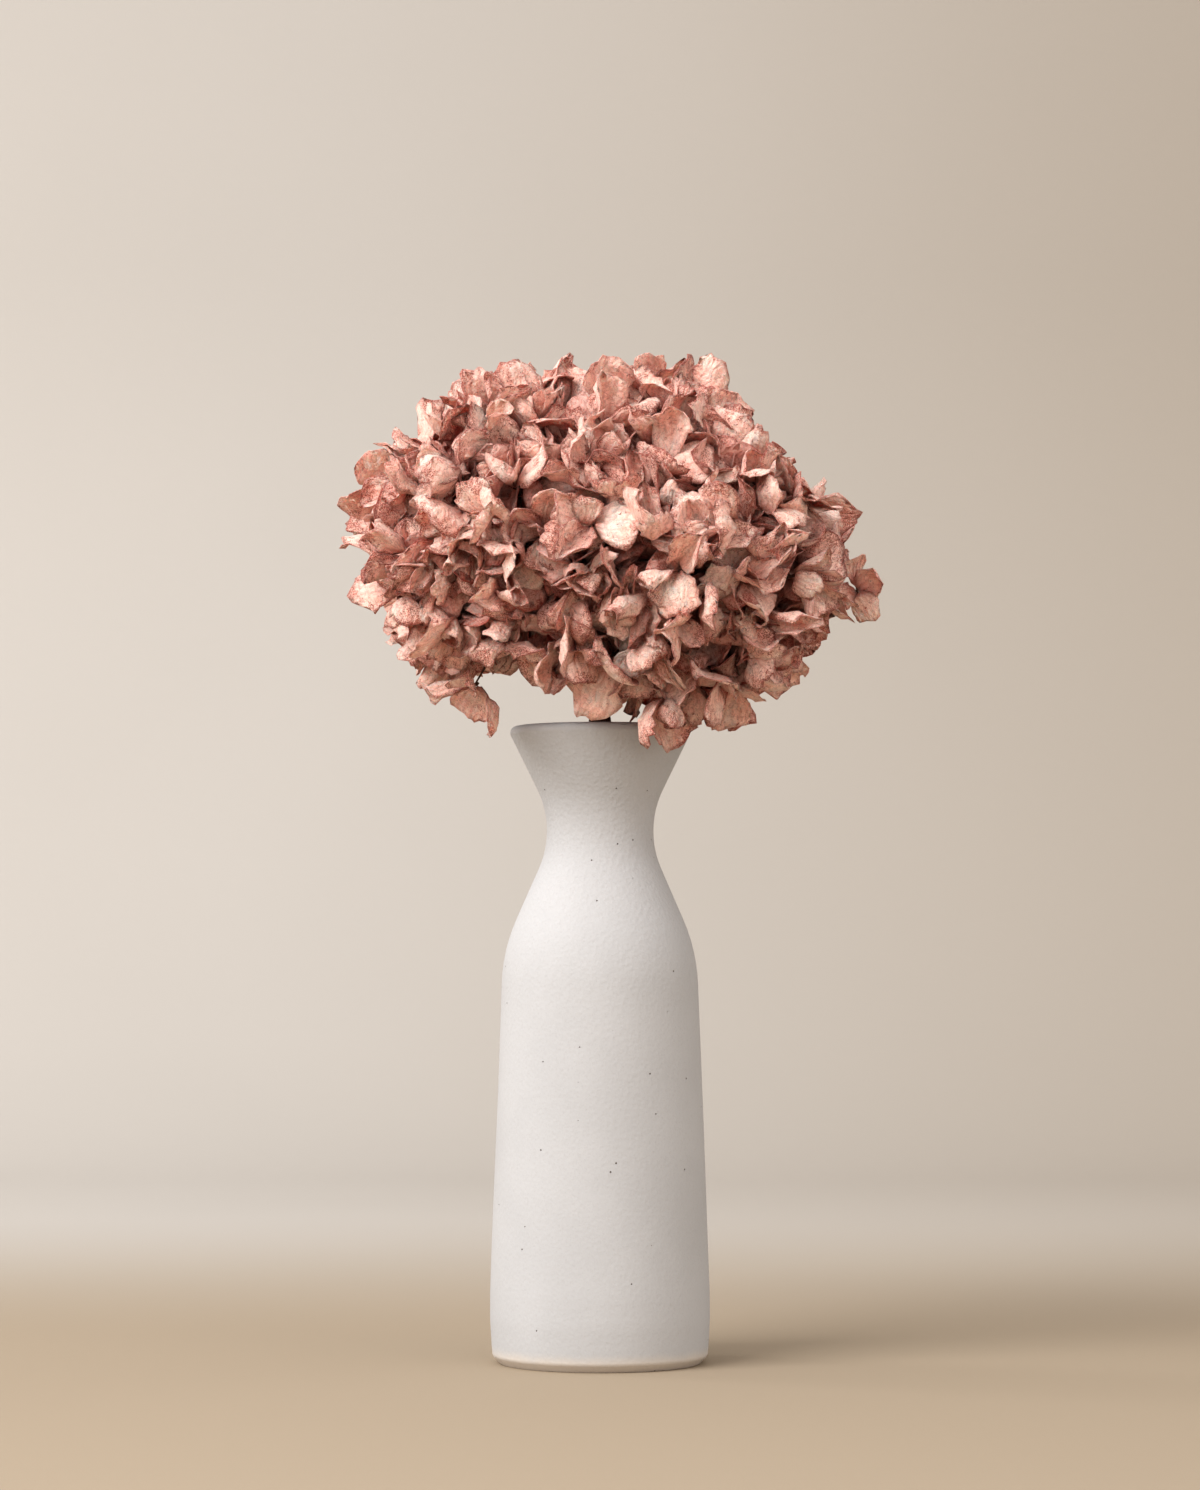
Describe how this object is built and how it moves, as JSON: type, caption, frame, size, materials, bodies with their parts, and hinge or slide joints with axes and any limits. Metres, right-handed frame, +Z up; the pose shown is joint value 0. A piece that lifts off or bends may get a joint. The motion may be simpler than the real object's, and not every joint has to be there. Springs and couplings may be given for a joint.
{
  "type": "dried hydrangeas in a vase",
  "caption": "Dried mophead hydrangea heads on woody stems, standing in a tall matte ceramic bottle vase with a narrow neck and a flared mouth.",
  "frame": {"origin": "centre of the vase's flat foot, on the surface that it stands on", "axes": "+Z up along the vase's axis, -Y towards the front that the picture shows, +X to the right as seen from the front"},
  "size_m": [0.244, 0.2359, 0.4665],
  "materials": {
    "vase": "matte",
    "stem": "matte",
    "sepals": "matte"
  },
  "bodies": {
    "root": {"vase": "vase", "stem_left": "stem", "stem_right": "stem", "stem_back": "stem", "head_left": "sepals", "head_right": "sepals", "head_back": "sepals"}
  },
  "joints": []
}
